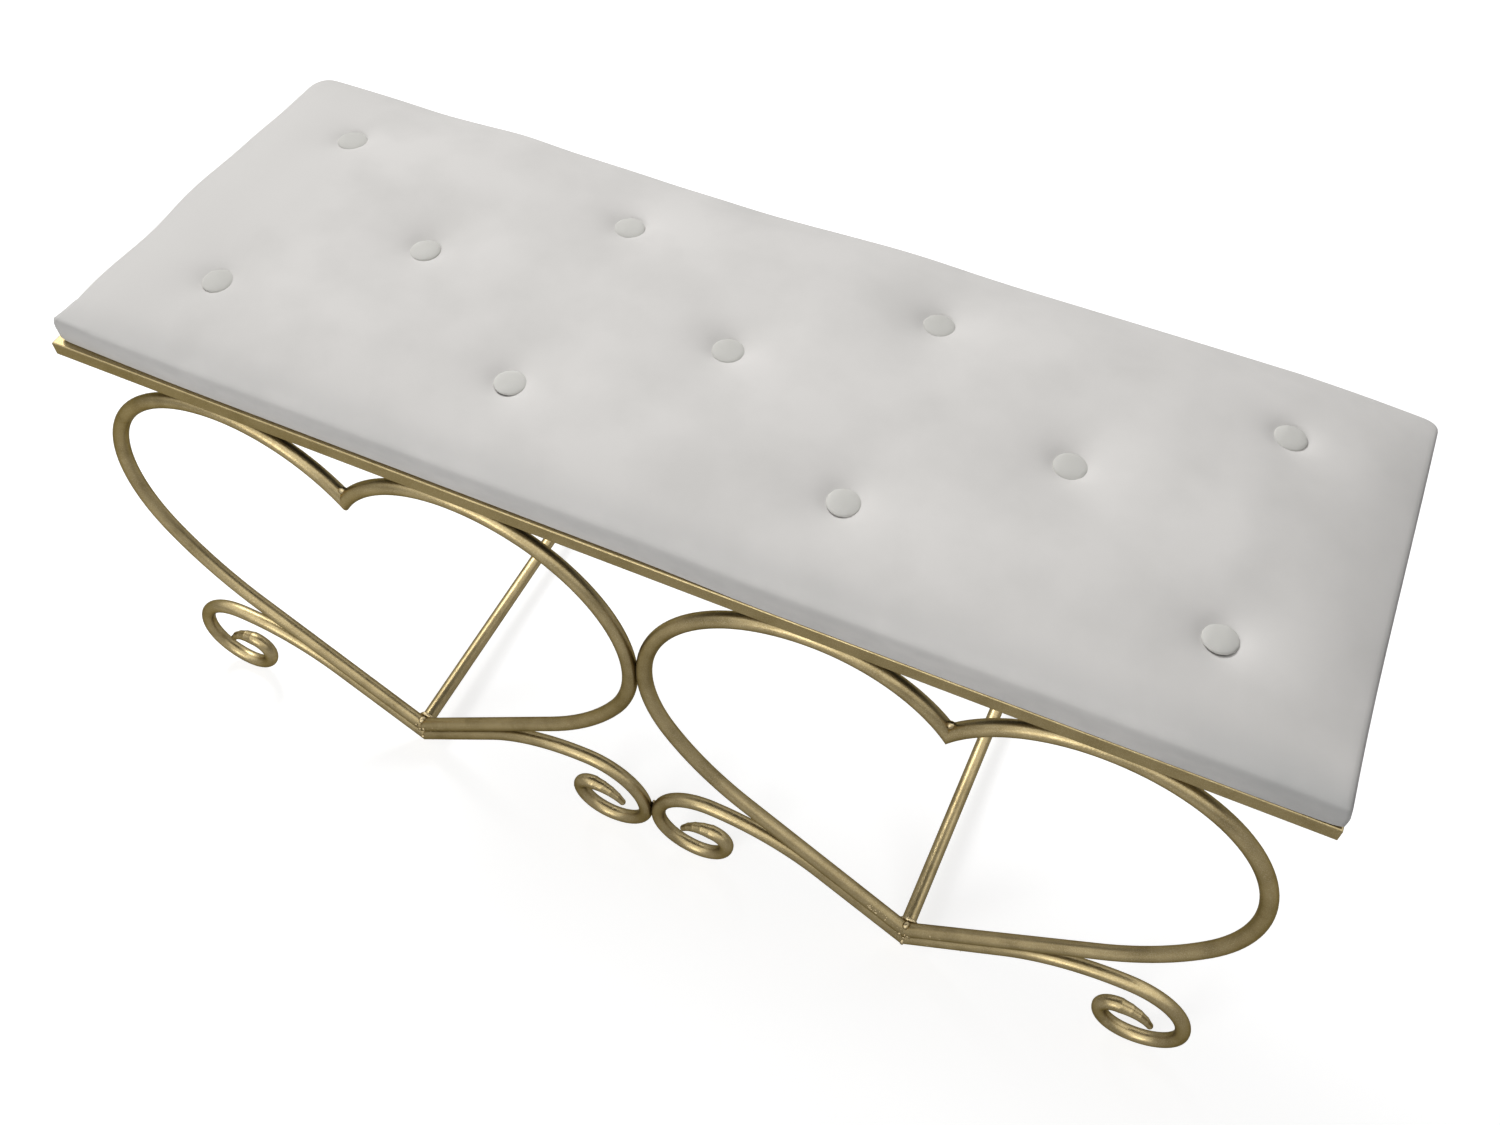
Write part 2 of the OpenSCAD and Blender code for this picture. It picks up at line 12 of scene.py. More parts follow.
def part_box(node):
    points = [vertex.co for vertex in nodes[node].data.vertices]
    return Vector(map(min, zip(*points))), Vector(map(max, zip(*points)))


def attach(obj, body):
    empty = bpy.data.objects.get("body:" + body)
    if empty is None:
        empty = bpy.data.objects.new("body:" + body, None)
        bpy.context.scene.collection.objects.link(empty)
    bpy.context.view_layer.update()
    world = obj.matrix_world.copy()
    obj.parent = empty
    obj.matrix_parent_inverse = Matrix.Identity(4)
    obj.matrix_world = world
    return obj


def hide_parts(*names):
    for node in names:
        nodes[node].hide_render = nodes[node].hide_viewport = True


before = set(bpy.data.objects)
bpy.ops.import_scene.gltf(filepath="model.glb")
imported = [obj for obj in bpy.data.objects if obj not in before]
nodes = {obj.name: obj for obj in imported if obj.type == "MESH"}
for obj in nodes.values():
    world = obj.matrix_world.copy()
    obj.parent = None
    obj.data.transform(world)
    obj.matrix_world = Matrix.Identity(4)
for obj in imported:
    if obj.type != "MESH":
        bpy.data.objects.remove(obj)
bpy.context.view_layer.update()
mm = 0.001

# The camera stands in front of the bench, to the right of its middle and well above the seat.
# It looks down at about 53 degrees, so the seat fills the view and the front hearts show below it.
camera_at = (0.3348, -0.6964, 1.2571)
camera_turn, camera_tilt, camera_roll = 24.44, 53.43, 0.264
camera_lens = bpy.data.cameras.new("camera")
camera_lens.lens = 35.06
camera_lens.sensor_width = 36
camera = bpy.data.objects.new("camera", camera_lens)
camera.matrix_world = (
    Matrix.Translation(camera_at)
    @ Matrix.Rotation(radians(camera_turn), 4, "Z")
    @ Matrix.Rotation(radians(90 - camera_tilt), 4, "X")
    @ Matrix.Rotation(radians(camera_roll), 4, "Z")
)
bpy.context.scene.collection.objects.link(camera)
bpy.context.scene.camera = camera
bpy.context.scene.view_settings.view_transform = "Standard"


# The studio: a pale floor that runs out of sight in a white surround, with soft light from above.
# What the camera and the metal see of it is white, and it adds little light of its own to the bench.
def place(tree, kind, settings, inputs):
    """Adds a shader node. An input is a value, or the output of another node."""
    node = tree.nodes.new("ShaderNode" + kind)
    for name, value in settings.items():
        setattr(node, name, value)
    for name, value in inputs.items():
        if isinstance(value, bpy.types.NodeSocket):
            tree.links.new(value, node.inputs[name])
        else:
            node.inputs[name].default_value = value
    return node


def seen_rays(tree):
    """1 where the camera, a reflection or clear glass looks, and 0 for the light that falls on things."""
    path = place(tree, "LightPath", {}, {})
    mirrored = place(tree, "Math", {"operation": "MAXIMUM"},
                     {0: path.outputs["Is Glossy Ray"], 1: path.outputs["Is Transmission Ray"]})
    return place(tree, "Math", {"operation": "MAXIMUM"},
                 {0: path.outputs["Is Camera Ray"], 1: mirrored.outputs[0]}).outputs[0]


surround_light = 0.20
horizon_mirrored, ceiling_mirrored = 0.35, 2.4
surround = bpy.data.worlds.new("white_surround")
bpy.context.scene.world = surround
surround.use_nodes = True
sky = surround.node_tree
sky.nodes.clear()
# The metal sees a bright ceiling and a dimmer horizon and floor, as in a studio.
upward = place(sky, "SeparateXYZ", {}, {0: place(sky, "TexCoord", {}, {}).outputs["Generated"]}).outputs["Z"]
ceiling = place(sky, "MapRange", {"interpolation_type": "SMOOTHSTEP"},
                {"Value": upward, "From Min": 0.0, "From Max": 0.8,
                 "To Min": horizon_mirrored, "To Max": ceiling_mirrored})
mirrored = place(sky, "LightPath", {}, {}).outputs["Is Glossy Ray"]
seen_strength = place(sky, "Mix", {}, {0: mirrored, 2: 1.0, 3: ceiling.outputs[0]})
sky_strength = place(sky, "Mix", {}, {0: seen_rays(sky), 2: surround_light, 3: seen_strength.outputs[0]})
sky_white = place(sky, "Background", {}, {"Color": (1, 1, 1, 1), "Strength": sky_strength.outputs[0]})
place(sky, "OutputWorld", {}, {"Surface": sky_white.outputs[0]})

floor_half = 30
floor_drop = 0.2 * mm
floor_white = 0.52
floor_glow = 0.79
floor_mirrored = 0.5
whiter_from, whiter_to = 1.2, 4.0
floor_mesh = bpy.data.meshes.new("floor")
shape = bmesh.new()
bmesh.ops.create_grid(shape, x_segments=1, y_segments=1, size=floor_half)
bmesh.ops.translate(shape, verts=shape.verts, vec=(0, 0, -floor_drop))
shape.to_mesh(floor_mesh)
shape.free()
floor = bpy.data.objects.new("floor", floor_mesh)
bpy.context.scene.collection.objects.link(floor)
floor_paint = bpy.data.materials.new("pale_floor")
floor_paint.use_nodes = True
tree = floor_paint.node_tree
tree.nodes.clear()
spot = place(tree, "TexCoord", {}, {}).outputs["Object"]
far = place(tree, "VectorMath", {"operation": "LENGTH"}, {0: spot})
fade_out = place(tree, "MapRange", {"interpolation_type": "SMOOTHSTEP"},
                 {"Value": far.outputs["Value"], "From Min": whiter_from, "From Max": whiter_to,
                  "To Min": floor_glow, "To Max": 1.0})
mirrored = place(tree, "LightPath", {}, {}).outputs["Is Glossy Ray"]
seen_floor = place(tree, "Mix", {}, {0: mirrored, 2: fade_out.outputs[0], 3: floor_mirrored})
glow_strength = place(tree, "Math", {"operation": "MULTIPLY"}, {0: seen_floor.outputs[0], 1: seen_rays(tree)})
glow = place(tree, "Emission", {}, {"Color": (1, 1, 1, 1), "Strength": glow_strength.outputs[0]})
matt = place(tree, "BsdfDiffuse", {}, {"Color": (floor_white, floor_white, floor_white, 1)})
lit = place(tree, "AddShader", {}, {0: matt.outputs[0], 1: glow.outputs[0]})
below = place(tree, "NewGeometry", {}, {}).outputs["Backfacing"]
clear = place(tree, "BsdfTransparent", {}, {})
either = place(tree, "MixShader", {}, {0: below, 1: lit.outputs[0], 2: clear.outputs[0]})
place(tree, "OutputMaterial", {}, {"Surface": either.outputs[0]})
floor.data.materials.append(floor_paint)


def softbox(name, at, towards, size, watts):
    """A square lamp with a diffuser, turned towards a point."""
    lamp = bpy.data.lights.new(name, "AREA")
    lamp.shape = "RECTANGLE"
    lamp.size, lamp.size_y = size
    lamp.energy = watts
    stand = bpy.data.objects.new(name, lamp)
    stand.location = at
    stand.rotation_mode = "QUATERNION"
    stand.rotation_quaternion = (Vector(towards) - Vector(at)).to_track_quat("-Z", "Y")
    bpy.context.scene.collection.objects.link(stand)


softbox("lamp_back_left", (-2.6, 2.4, 4.1), (0, 0, 0.4), (1.8, 1.8), 182)
softbox("lamp_above", (0.1, 0.0, 1.55), (0.1, 0, 0.4), (1.0, 0.3), 2.4)
softbox("lamp_front", (-0.6, -2.8, 1.2), (0, 0, 0.4), (1.2, 1.2), 31)


# The frame: mild steel rod and square tube, bent and welded, then sprayed in a champagne gold metallic paint.
# The paint is satin, with fine flakes in it, and a little uneven where it was sprayed round the rods.
def grouped(name, inputs):
    """An empty node group for a finish, which also takes a place and gives colour, roughness and relief."""
    group = bpy.data.node_groups.new(name, "ShaderNodeTree")
    for label, kind in (("Where", "Vector"), *inputs):
        group.interface.new_socket(name=label, in_out="INPUT", socket_type="NodeSocket" + kind)
    for label, kind in (("Color", "Color"), ("Roughness", "Float"), ("Normal", "Vector")):
        group.interface.new_socket(name=label, in_out="OUTPUT", socket_type="NodeSocket" + kind)
    return group, group.nodes.new("NodeGroupInput"), group.nodes.new("NodeGroupOutput")


def hand_out(group, out, colour, roughness, relief):
    """Links what a finish's nodes made to the outputs of its group."""
    for label, made in (("Color", colour), ("Roughness", roughness), ("Normal", relief)):
        group.links.new(made, out.inputs[label])


def from_group(name, group, inputs):
    """A material whose colour, roughness and relief come from a group, read in the object's own space."""
    material = bpy.data.materials.new(name)
    material.use_nodes = True
    tree = material.node_tree
    surface = tree.nodes["Principled BSDF"]
    spot = place(tree, "TexCoord", {}, {}).outputs["Object"]
    finish = place(tree, "Group", {"node_tree": group}, {"Where": spot, **inputs})
    for made, taken in (("Color", "Base Color"), ("Roughness", "Roughness"), ("Normal", "Normal")):
        tree.links.new(finish.outputs[made], surface.inputs[taken])
    return material, surface


def mottled(tree, spot, size, detail):
    """Soft noise whose patches are about this many metres across."""
    return place(tree, "TexNoise", {}, {"Vector": spot, "Scale": 1 / size, "Detail": detail}).outputs[0]


# The sprayed paint: flakes a fraction of a millimetre across, broad clouds where the coat is thicker,
# and a fine orange peel on the surface.
flake_size, cloud_size, satin_size, peel_size = 0.7 * mm, 26 * mm, 9 * mm, 1.6 * mm
most_flake = 0.30
flake_gold = (0.70, 0.63, 0.44, 1)
metal_paint, into, out = grouped(
    "metal_paint", [("Paint", "Color"), ("Flake", "Color"), ("Shade", "Color"), ("Peel", "Float")])
spot = into.outputs["Where"]
flakes = place(metal_paint, "MapRange", {},
               {"Value": mottled(metal_paint, spot, flake_size, 2), "From Min": 0.50, "From Max": 0.72})
clouds = place(metal_paint, "MapRange", {},
               {"Value": mottled(metal_paint, spot, cloud_size, 4), "From Min": 0.42, "From Max": 0.66})
coat = place(metal_paint, "Mix", {"data_type": "RGBA"},
             {0: clouds.outputs[0], 6: into.outputs["Paint"], 7: into.outputs["Shade"]})
flaked_share = place(metal_paint, "Math", {"operation": "MULTIPLY"}, {0: flakes.outputs[0], 1: most_flake})
flaked = place(metal_paint, "Mix", {"data_type": "RGBA"},
               {0: flaked_share.outputs[0], 6: coat.outputs[2], 7: into.outputs["Flake"]})
satin = place(metal_paint, "MapRange", {},
              {"Value": mottled(metal_paint, spot, satin_size, 3), "To Min": 0.30, "To Max": 0.44})
peel = place(metal_paint, "Bump", {},
             {"Height": mottled(metal_paint, spot, peel_size, 2),
              "Strength": into.outputs["Peel"], "Distance": 0.25 * mm})
hand_out(metal_paint, out, flaked.outputs[2], satin.outputs[0], peel.outputs[0])


def gold_paint(name, paint, shade, peel):
    """A gold paint material, with its main colour, the colour where it is thin, and its unevenness."""
    material, surface = from_group(name, metal_paint, {"Paint": (*paint, 1), "Flake": flake_gold,
                                                       "Shade": (*shade, 1), "Peel": peel})
    surface.inputs["Metallic"].default_value = 1
    surface.inputs["Specular Tint"].default_value = (0.35, 0.32, 0.25, 1)
    return material


def painted(names, material):
    """Gives CAD nodes their finish."""
    for name in names:
        for held in nodes[name].material_slots:
            held.material = material


rail_gold = gold_paint("rail_gold", (0.275, 0.216, 0.110), (0.225, 0.174, 0.085), 0.3)
rod_gold = gold_paint("rod_gold", (0.305, 0.240, 0.124), (0.235, 0.182, 0.090), 0.4)
painted(["front_rail", "back_rail", "left_rail", "right_rail"], rail_gold)
painted([n for n in nodes if n.startswith(("heart_", "foot_", "tab_"))], rod_gold)
painted(["left_stretcher", "right_stretcher"], rod_gold)


# The weld beads: lumps and short runs of weld metal, rippled as they were laid and painted with the frame.
# Those at the rods' joints are round, and the rest are fillets on the hidden side of a panel.
def islands(name):
    """The box of each separate solid in a CAD node, as (low, high)."""
    whole = bmesh.new()
    whole.from_mesh(nodes[name].data)
    bmesh.ops.remove_doubles(whole, verts=whole.verts, dist=0.001 * mm)
    left = set(whole.verts)
    boxes = []
    while left:
        reached, found = [left.pop()], []
        while reached:
            vert = reached.pop()
            found.append(tuple(vert.co))
            near = [edge.other_vert(vert) for edge in vert.link_edges]
            fresh = [other for other in near if other in left]
            left.difference_update(fresh)
            reached.extend(fresh)
        boxes.append((Vector(np.min(found, axis=0)), Vector(np.max(found, axis=0))))
    whole.free()
    return sorted(boxes, key=lambda box: tuple(box[0]))


def finished(name, shape, material, replaced=()):
    """Makes a bmesh a piece of the bench, with its finish and the CAD nodes that it stands for."""
    mesh = bpy.data.meshes.new(name)
    for face in shape.faces:
        face.smooth = True
    shape.to_mesh(mesh)
    shape.free()
    piece = bpy.data.objects.new(name, mesh)
    mesh.materials.append(material)
    bpy.context.scene.collection.objects.link(piece)
    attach(piece, "root")
    if replaced:
        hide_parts(*replaced)
    return piece


def roughened(verts, depth, size):
    """Moves vertices out and in along their normals by soft noise."""
    for vert in verts:
        vert.co += vert.normal * depth * noise.noise(vert.co / size)


ripple_l, ripple_depth = 2.4 * mm, 0.10
lump_depth, lump_size = 0.5 * mm, 2.2 * mm


def bead(shape, middle, direction, length, radius):
    """A run of weld metal: a long rounded lump, with a ripple for each drop laid down."""
    rings = max(10, int(length / mm))
    made = bmesh.ops.create_uvsphere(shape, u_segments=14, v_segments=rings, radius=radius)["verts"]
    for vert in made:
        share = vert.co.z / radius
        girth = 1 + ripple_depth * sin(pi * share * length / ripple_l)
        vert.co = Vector((vert.co.x * girth, vert.co.y * girth, share * length / 2))
    bmesh.ops.rotate(shape, verts=made, matrix=Vector(direction).to_track_quat("Z", "Y").to_matrix())
    bmesh.ops.translate(shape, verts=made, vec=middle)
    shape.normal_update()
    roughened(made, lump_depth, lump_size)


def middle_of(box):
    return (box[0] + box[1]) / 2


heart_x = nodes["front_rail"].dimensions.x / 4
flank_slope = radians(35.9)
cleft_bead_l, tip_bead_l, bead_r = 8.4 * mm, 7.6 * mm, 3.2 * mm
fillet_r = 2.2 * mm
weld_gold = gold_paint("weld_gold", (0.36, 0.29, 0.17), (0.22, 0.17, 0.09), 0.9)


def along_flank(box):
    """How the fillet between a foot rod and a flank lies: its direction, length and radius."""
    middle_x = middle_of(box).x
    rising = 1 if middle_x > copysign(heart_x, middle_x) else -1
    direction = (rising * cos(flank_slope), 0, sin(flank_slope))
    return direction, (box[1].x - box[0].x) / cos(flank_slope), fillet_r


for name, welds, lying in (
        ("cleft_beads", "cleft_welds", lambda box: ((1, 0, 0.3), cleft_bead_l, bead_r)),
        ("tip_beads", "tip_welds", lambda box: ((0.2, 1, 0), tip_bead_l, bead_r)),
        ("lobe_fillets", "lobe_welds", lambda box: ((1, 0, 0), box[1].x - box[0].x, fillet_r)),
        ("side_fillets", "side_welds", lambda box: ((0, 0, 1), box[1].z - box[0].z, fillet_r)),
        ("flank_fillets", "flank_welds", along_flank)):
    shape = bmesh.new()
    for box in islands(welds):
        bead(shape, middle_of(box), *lying(box))
    finished(name, shape, weld_gold, [welds])

# A ring of weld runs round each end of the stretchers.
ring_steps = 36
ring_lump_depth, ring_lump_size = 1.0 * mm, 3.5 * mm
shape = bmesh.new()
for box in islands("stretcher_welds"):
    ring_r = (box[1].x - box[0].x) / 2 - fillet_r
    laid = set(shape.verts)
    around = bmesh.ops.create_circle(shape, segments=10, radius=fillet_r)["verts"]
    bmesh.ops.translate(shape, verts=around, vec=(ring_r, 0, 0))
    edges = list({edge for vert in around for edge in vert.link_edges})
    bmesh.ops.spin(shape, geom=around + edges, cent=(0, 0, 0), axis=(0, 1, 0), angle=2 * pi,
                   steps=ring_steps, use_merge=True)
    ring = [vert for vert in shape.verts if vert not in laid]
    bmesh.ops.translate(shape, verts=ring, vec=middle_of(box))
bmesh.ops.recalc_face_normals(shape, faces=shape.faces)
roughened(shape.verts, ring_lump_depth, ring_lump_size)
finished("stretcher_beads", shape, weld_gold, ["stretcher_welds"])

# Lumps of weld stand on the outer side of each mitre, and drops of spatter lie on the rods round it.
rod_r = nodes["heart_front_left_outer"].dimensions.y / 2
panel_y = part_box("heart_back_left_outer")[1].y - rod_r
tip_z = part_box("left_stretcher")[0].z + rod_r
foot_tip_z = tip_z - 2 * rod_r / cos(flank_slope)
heart_lumps, foot_lumps, mitre_drops, patch_drops = 3, 2, 26, 16
lump_sink = 0.8 * mm
drop_sink = 0.3
foot_drops = 0.4


def on_rod(heart, face, end, foot, along, around, sink):
    """A point on a flank or foot rod, measured up from its mitre and round from its outer side."""
    lean = Vector((end * cos(flank_slope), 0, sin(flank_slope)))
    across = Vector((-end * sin(flank_slope), 0, cos(flank_slope)))
    root = Vector((heart * heart_x, face * panel_y, foot_tip_z if foot else tip_z))
    return root + lean * along + (rod_r - sink) * (across * sin(around) + Vector((0, face * cos(around), 0)))


def spatter(shape, size, *where):
    """A drop of weld metal, sunk a little into the rod."""
    made = bmesh.ops.create_icosphere(shape, subdivisions=2, radius=size)["verts"]
    bmesh.ops.translate(shape, verts=made, vec=on_rod(*where, drop_sink * size))


shape = bmesh.new()
chance = random.Random(7)
for heart in (-1, 1):
    for face in (-1, 1):
        for lump in range(heart_lumps + foot_lumps):
            foot = lump >= heart_lumps
            at = on_rod(heart, face, chance.choice((-1, 1)), foot, chance.uniform(1, 6) * mm,
                        chance.uniform(-0.5, 0.9), lump_sink)
            direction = (chance.uniform(-1, 1), 0.2, chance.uniform(-1, 1))
            bead(shape, at, direction, chance.uniform(3.5, 6.5) * mm, chance.uniform(1.5, 2.3) * mm)
finished("mitre_beads", shape, weld_gold)

shape = bmesh.new()
for heart in (-1, 1):
    for face in (-1, 1):
        for drop in range(mitre_drops):
            spatter(shape, chance.uniform(0.3, 0.9) * mm, heart, face, chance.choice((-1, 1)),
                    chance.random() < foot_drops, chance.triangular(5, 75, 12) * mm,
                    chance.uniform(-0.9, 1.2))
# One mitre has a thick patch of it further up its flank.
for drop in range(patch_drops):
    spatter(shape, chance.uniform(0.5, 1.1) * mm, 1, -1, -1, False,
            chance.uniform(24, 46) * mm, chance.uniform(0.3, 1.0))
finished("weld_spatter", shape, weld_gold)


# The seat board: plywood, screwed down to the tabs through the underside cloth.
# Its faces show long grain, and its edges the plies.
two_tones = [("Light", "Color"), ("Dark", "Color")]
grain, into, out = grouped("plywood", two_tones)
drawn_out = place(grain, "Mapping", {}, {"Vector": into.outputs["Where"], "Scale": (0.06, 1, 1)})
fibres = place(grain, "TexNoise", {}, {"Vector": drawn_out.outputs[0], "Scale": 220, "Detail": 5})
plies = place(grain, "TexWave", {"bands_direction": "Z"},
              {"Vector": into.outputs["Where"], "Scale": 70, "Distortion": 0.4})
layered = place(grain, "Math", {"operation": "MULTIPLY_ADD"},
                {0: plies.outputs["Fac"], 1: 0.3, 2: fibres.outputs[0]})
toned = place(grain, "MapRange", {}, {"Value": layered.outputs[0], "From Min": 0.4, "From Max": 1.0})
wood_colour = place(grain, "Mix", {"data_type": "RGBA"},
                    {0: toned.outputs[0], 6: into.outputs["Light"], 7: into.outputs["Dark"]})
dull = place(grain, "MapRange", {}, {"Value": fibres.outputs[0], "To Min": 0.55, "To Max": 0.8})
fuzz = place(grain, "Bump", {}, {"Height": fibres.outputs[0], "Strength": 0.4, "Distance": 0.3 * mm})
hand_out(grain, out, wood_colour.outputs[2], dull.outputs[0], fuzz.outputs[0])
board_wood, _ = from_group("board_wood", grain,
                           {"Light": (0.56, 0.40, 0.22, 1), "Dark": (0.36, 0.23, 0.11, 1)})
painted(["seat_board"], board_wood)


# The foam: a block of yellow cushion foam glued over the board and cut out below to sit down round it.
# Twine draws it down under each button, and a layer of wadding lies between it and the cover.
pad_low, pad_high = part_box("seat_cover")
board_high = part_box("seat_board")[1]
rail_top = pad_low.z
full_half = (pad_high.x, pad_high.y)
crown_h = pad_high.z - rail_top
edge_h = 20.5 * mm
edge_draw = 3 * mm
end_roll, side_roll = (110 * mm, 1.4), (90 * mm, 1.5)
front_corner_r, back_left_r, back_right_r, least_corner_r = 2 * mm, 18 * mm, 9 * mm, 1.2 * mm
# The foot of a button's rim lies this far below the top of its solid, and the cloth this far above that foot,
# before it is drawn down tight beside the button.
button_foot = 5.5 * mm
cloth_over_foot = 2.1 * mm
steep_share, steep_w, wide_w = 0.75, 18 * mm, 38 * mm
tuck, tuck_w, tuck_reach = 2.5 * mm, 6 * mm, 40 * mm
# How far some buttons were set from their place in the row by hand, in mm.
hand_shifts = {"button_front_1": (2.0, 0.8), "button_front_2": (-1.2, 2.0), "button_front_4": (-1.4, -2.4),
               "button_middle_1": (-1.6, 2.4), "button_middle_2": (-1.4, 2.4), "button_middle_3": (0, 0.6),
               "button_back_4": (2.4, -1.2)}
tufts = {}
for name in sorted(n for n in nodes if n.startswith("button_")):
    low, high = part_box(name)
    off_x, off_y = hand_shifts.get(name, (0, 0))
    middle = middle_of((low, high))
    tufts[name] = Vector((middle.x + off_x * mm, middle.y + off_y * mm, high.z - button_foot))
    button_r = (high.x - low.x) / 2
held_r = 0.8 * button_r
top_z = rail_top + 0.6 * edge_h


def crown(x, y):
    """Height of the untufted pad above the rails."""
    def roll(inward, width, bend):
        return 1 - (1 - min(1, max(0, inward) / width)) ** bend
    inward_x, inward_y = (half - edge_draw - abs(at) for half, at in zip(full_half, (x, y)))
    return edge_h + (crown_h - edge_h) * roll(inward_x, *end_roll) * roll(inward_y, *side_roll)


def pad_height(x, y):
    """Height of the cloth above the rails, drawn softly down round the buttons."""
    pull = 0
    for tuft in tufts.values():
        away = max(0, hypot(x - tuft.x, y - tuft.y) - held_r)
        depth = crown(tuft.x, tuft.y) - (tuft.z + cloth_over_foot - rail_top)
        funnel = steep_share * exp(-away / steep_w) + (1 - steep_share) * exp(-(away / wide_w) ** 2)
        pull = max(pull, depth * funnel)
    return crown(x, y) - pull


def off_tuft(at):
    """Distance of a point from the middle of the nearest button, seen from above."""
    return min(hypot(at.x - tuft.x, at.y - tuft.y) for tuft in tufts.values())


def tucked(verts):
    """Draws points of the pad's top down tight beside the buttons."""
    for vert in verts:
        away = off_tuft(vert.co) - held_r
        if vert.co.z > top_z and away < tuck_reach:
            vert.co.z -= tuck * exp(-max(0, away) / tuck_w)


def eased(at, start, end):
    """0 before the start, 1 past the end, and a smooth step between."""
    share = min(1, max(0, (at - start) / (end - start)))
    return share * share * (3 - 2 * share)


def outline(u, v, inset, up):
    """Where a point of the unit square falls on the pad, at a height from 0 at its foot to 1 at its edge."""
    half_x, half_y = full_half[0] - inset, full_half[1] - inset
    corner_r = front_corner_r if v < 0 else back_left_r if u < 0 else back_right_r
    r = max(least_corner_r, corner_r - inset / 2)
    x, y = u * half_x, v * half_y
    a, b = (abs(x) - half_x + r) / r, (abs(y) - half_y + r) / r
    if a > 0 and b > 0:
        x = copysign(half_x - r + r * a * sqrt(1 - b * b / 2), x)
        y = copysign(half_y - r + r * b * sqrt(1 - a * a / 2), y)
    return x + end_drift(u, y, up), y + side_drift(x, v, up)


# How the pad was pulled by hand. Places are in metres from the pad's middle, and amounts in millimetres.
# The left end waves, is pinched in behind and folded at the front corner. The right one is fuller in front.
wave_crest, wave_l, wave_in = -0.060, 0.112, 1.9
pinch_from, pinch_to, pinch_in = 0.030, 0.115, 6.6
fold_from, fold_to, fold_foot_in, fold_edge_out = 0.150, 0.174, 2.4, 1.3
right_foot_out, right_edge_out, right_front_out = 0.4, 0.6, 2.6


def end_drift(u, y, up):
    """How far the hand-pulled ends stand off the plain outline."""
    if u < 0:
        pinched = eased(y, pinch_from, pinch_to)
        wave = (1 - pinched) * cos(2 * pi * (y - wave_crest) / wave_l)
        folded = eased(-y, fold_from, fold_to) * (fold_foot_in * (1 - up ** 4) - fold_edge_out * up)
        return ((wave_in * (1 + wave) + pinch_in * pinched) * up + folded) * mm * u ** 6
    fuller = right_front_out * max(0, -y / full_half[1]) ** 3
    return (right_foot_out + right_edge_out * up + fuller) * mm * u ** 6


# In front the right half reaches the rail's face, and curls back at its corner. The left half stands back.
reach_w, reach_out, edge_out = 0.12, 2.8, 2.0
left_out, left_slope = 0.6, 1.2
left_from, left_w, left_in = 0.36, 0.126, 2.2
curl_from, curl_w, curl_in = 0.44, 0.057, 1.0
foot_lost = 0.4
# The back right corner droops.
droop_from, droop_w, droop_in, droop_down = 0.39, 0.08, 2.6, 3.5


def side_drift(x, v, up):
    """How far the hand-pulled long sides stand off the plain outline."""
    if v > 0:
        return -droop_in * mm * droop(x) * v ** 6
    reach = eased(x, 0, reach_w)
    left = left_slope * max(0, -x) - left_out + left_in * max(0, (-x - left_from) / left_w) ** 1.5
    curl = curl_in * (1 - up) * max(0, (x - curl_from) / curl_w) ** 2
    foot = (1 - reach) * left - reach_out * reach + curl
    return (foot * (1 - foot_lost * up) - edge_out * up) * mm * v ** 6


def droop(x):
    """How far the back right corner hangs, about 1 near the corner."""
    return max(0, (x - droop_from) / droop_w) ** 1.2


# Where the back edge stands higher, because it was stuffed fuller, or lower, because it was pulled:
# the place along it, the height and the width of each stretch. The front left corner stands up too.
back_pulls = ((0.085, 2.8, 0.055), (-0.275, 2.8, 0.035), (-0.050, -3.0, 0.050), (-0.125, -1.8, 0.040),
              (-0.360, -1.4, 0.030))
back_down = 0.2
ear_up, ear_w = 3.5, 26 * mm


def edge_rise(x, v):
    """How much higher than the plain pad its front or back edge stands."""
    if v < 0:
        return ear_up * mm * exp(-((x + full_half[0]) / ear_w) ** 2) * v ** 8
    pulled = sum(rise * exp(-((x - at) / width) ** 2) for at, rise, width in back_pulls)
    return (pulled - droop_down * droop(x) - back_down) * mm * v ** 4


def pad_skin(cells, sunk, rings):
    """An open skin over the pad, this far under the cloth, with rings of (inset, height) down its sides."""
    skin = bmesh.new()
    bmesh.ops.create_grid(skin, x_segments=cells[0], y_segments=cells[1], size=1)
    unit = {vert: (vert.co.x, vert.co.y, None) for vert in skin.verts}
    edge = [e for e in skin.edges if e.is_boundary]
    for ring in rings:
        grown = bmesh.ops.extrude_edge_only(skin, edges=edge)["geom"]
        edge = [e for e in grown if isinstance(e, bmesh.types.BMEdge) and e.is_boundary]
        for vert in grown:
            if isinstance(vert, bmesh.types.BMVert):
                unit[vert] = (vert.co.x, vert.co.y, ring)
    for vert, (u, v, ring) in unit.items():
        u, v = min(1, max(-1, u)), min(1, max(-1, v))
        inset, up = (edge_draw + sunk, 1) if ring is None else (ring[0], ring[1] / edge_h)
        x, y = outline(u, v, inset, up)
        height = pad_height(x, y) - sunk if ring is None else ring[1]
        vert.co = (x, y, rail_top + height + up ** 4 * edge_rise(x, v))
    return skin, edge


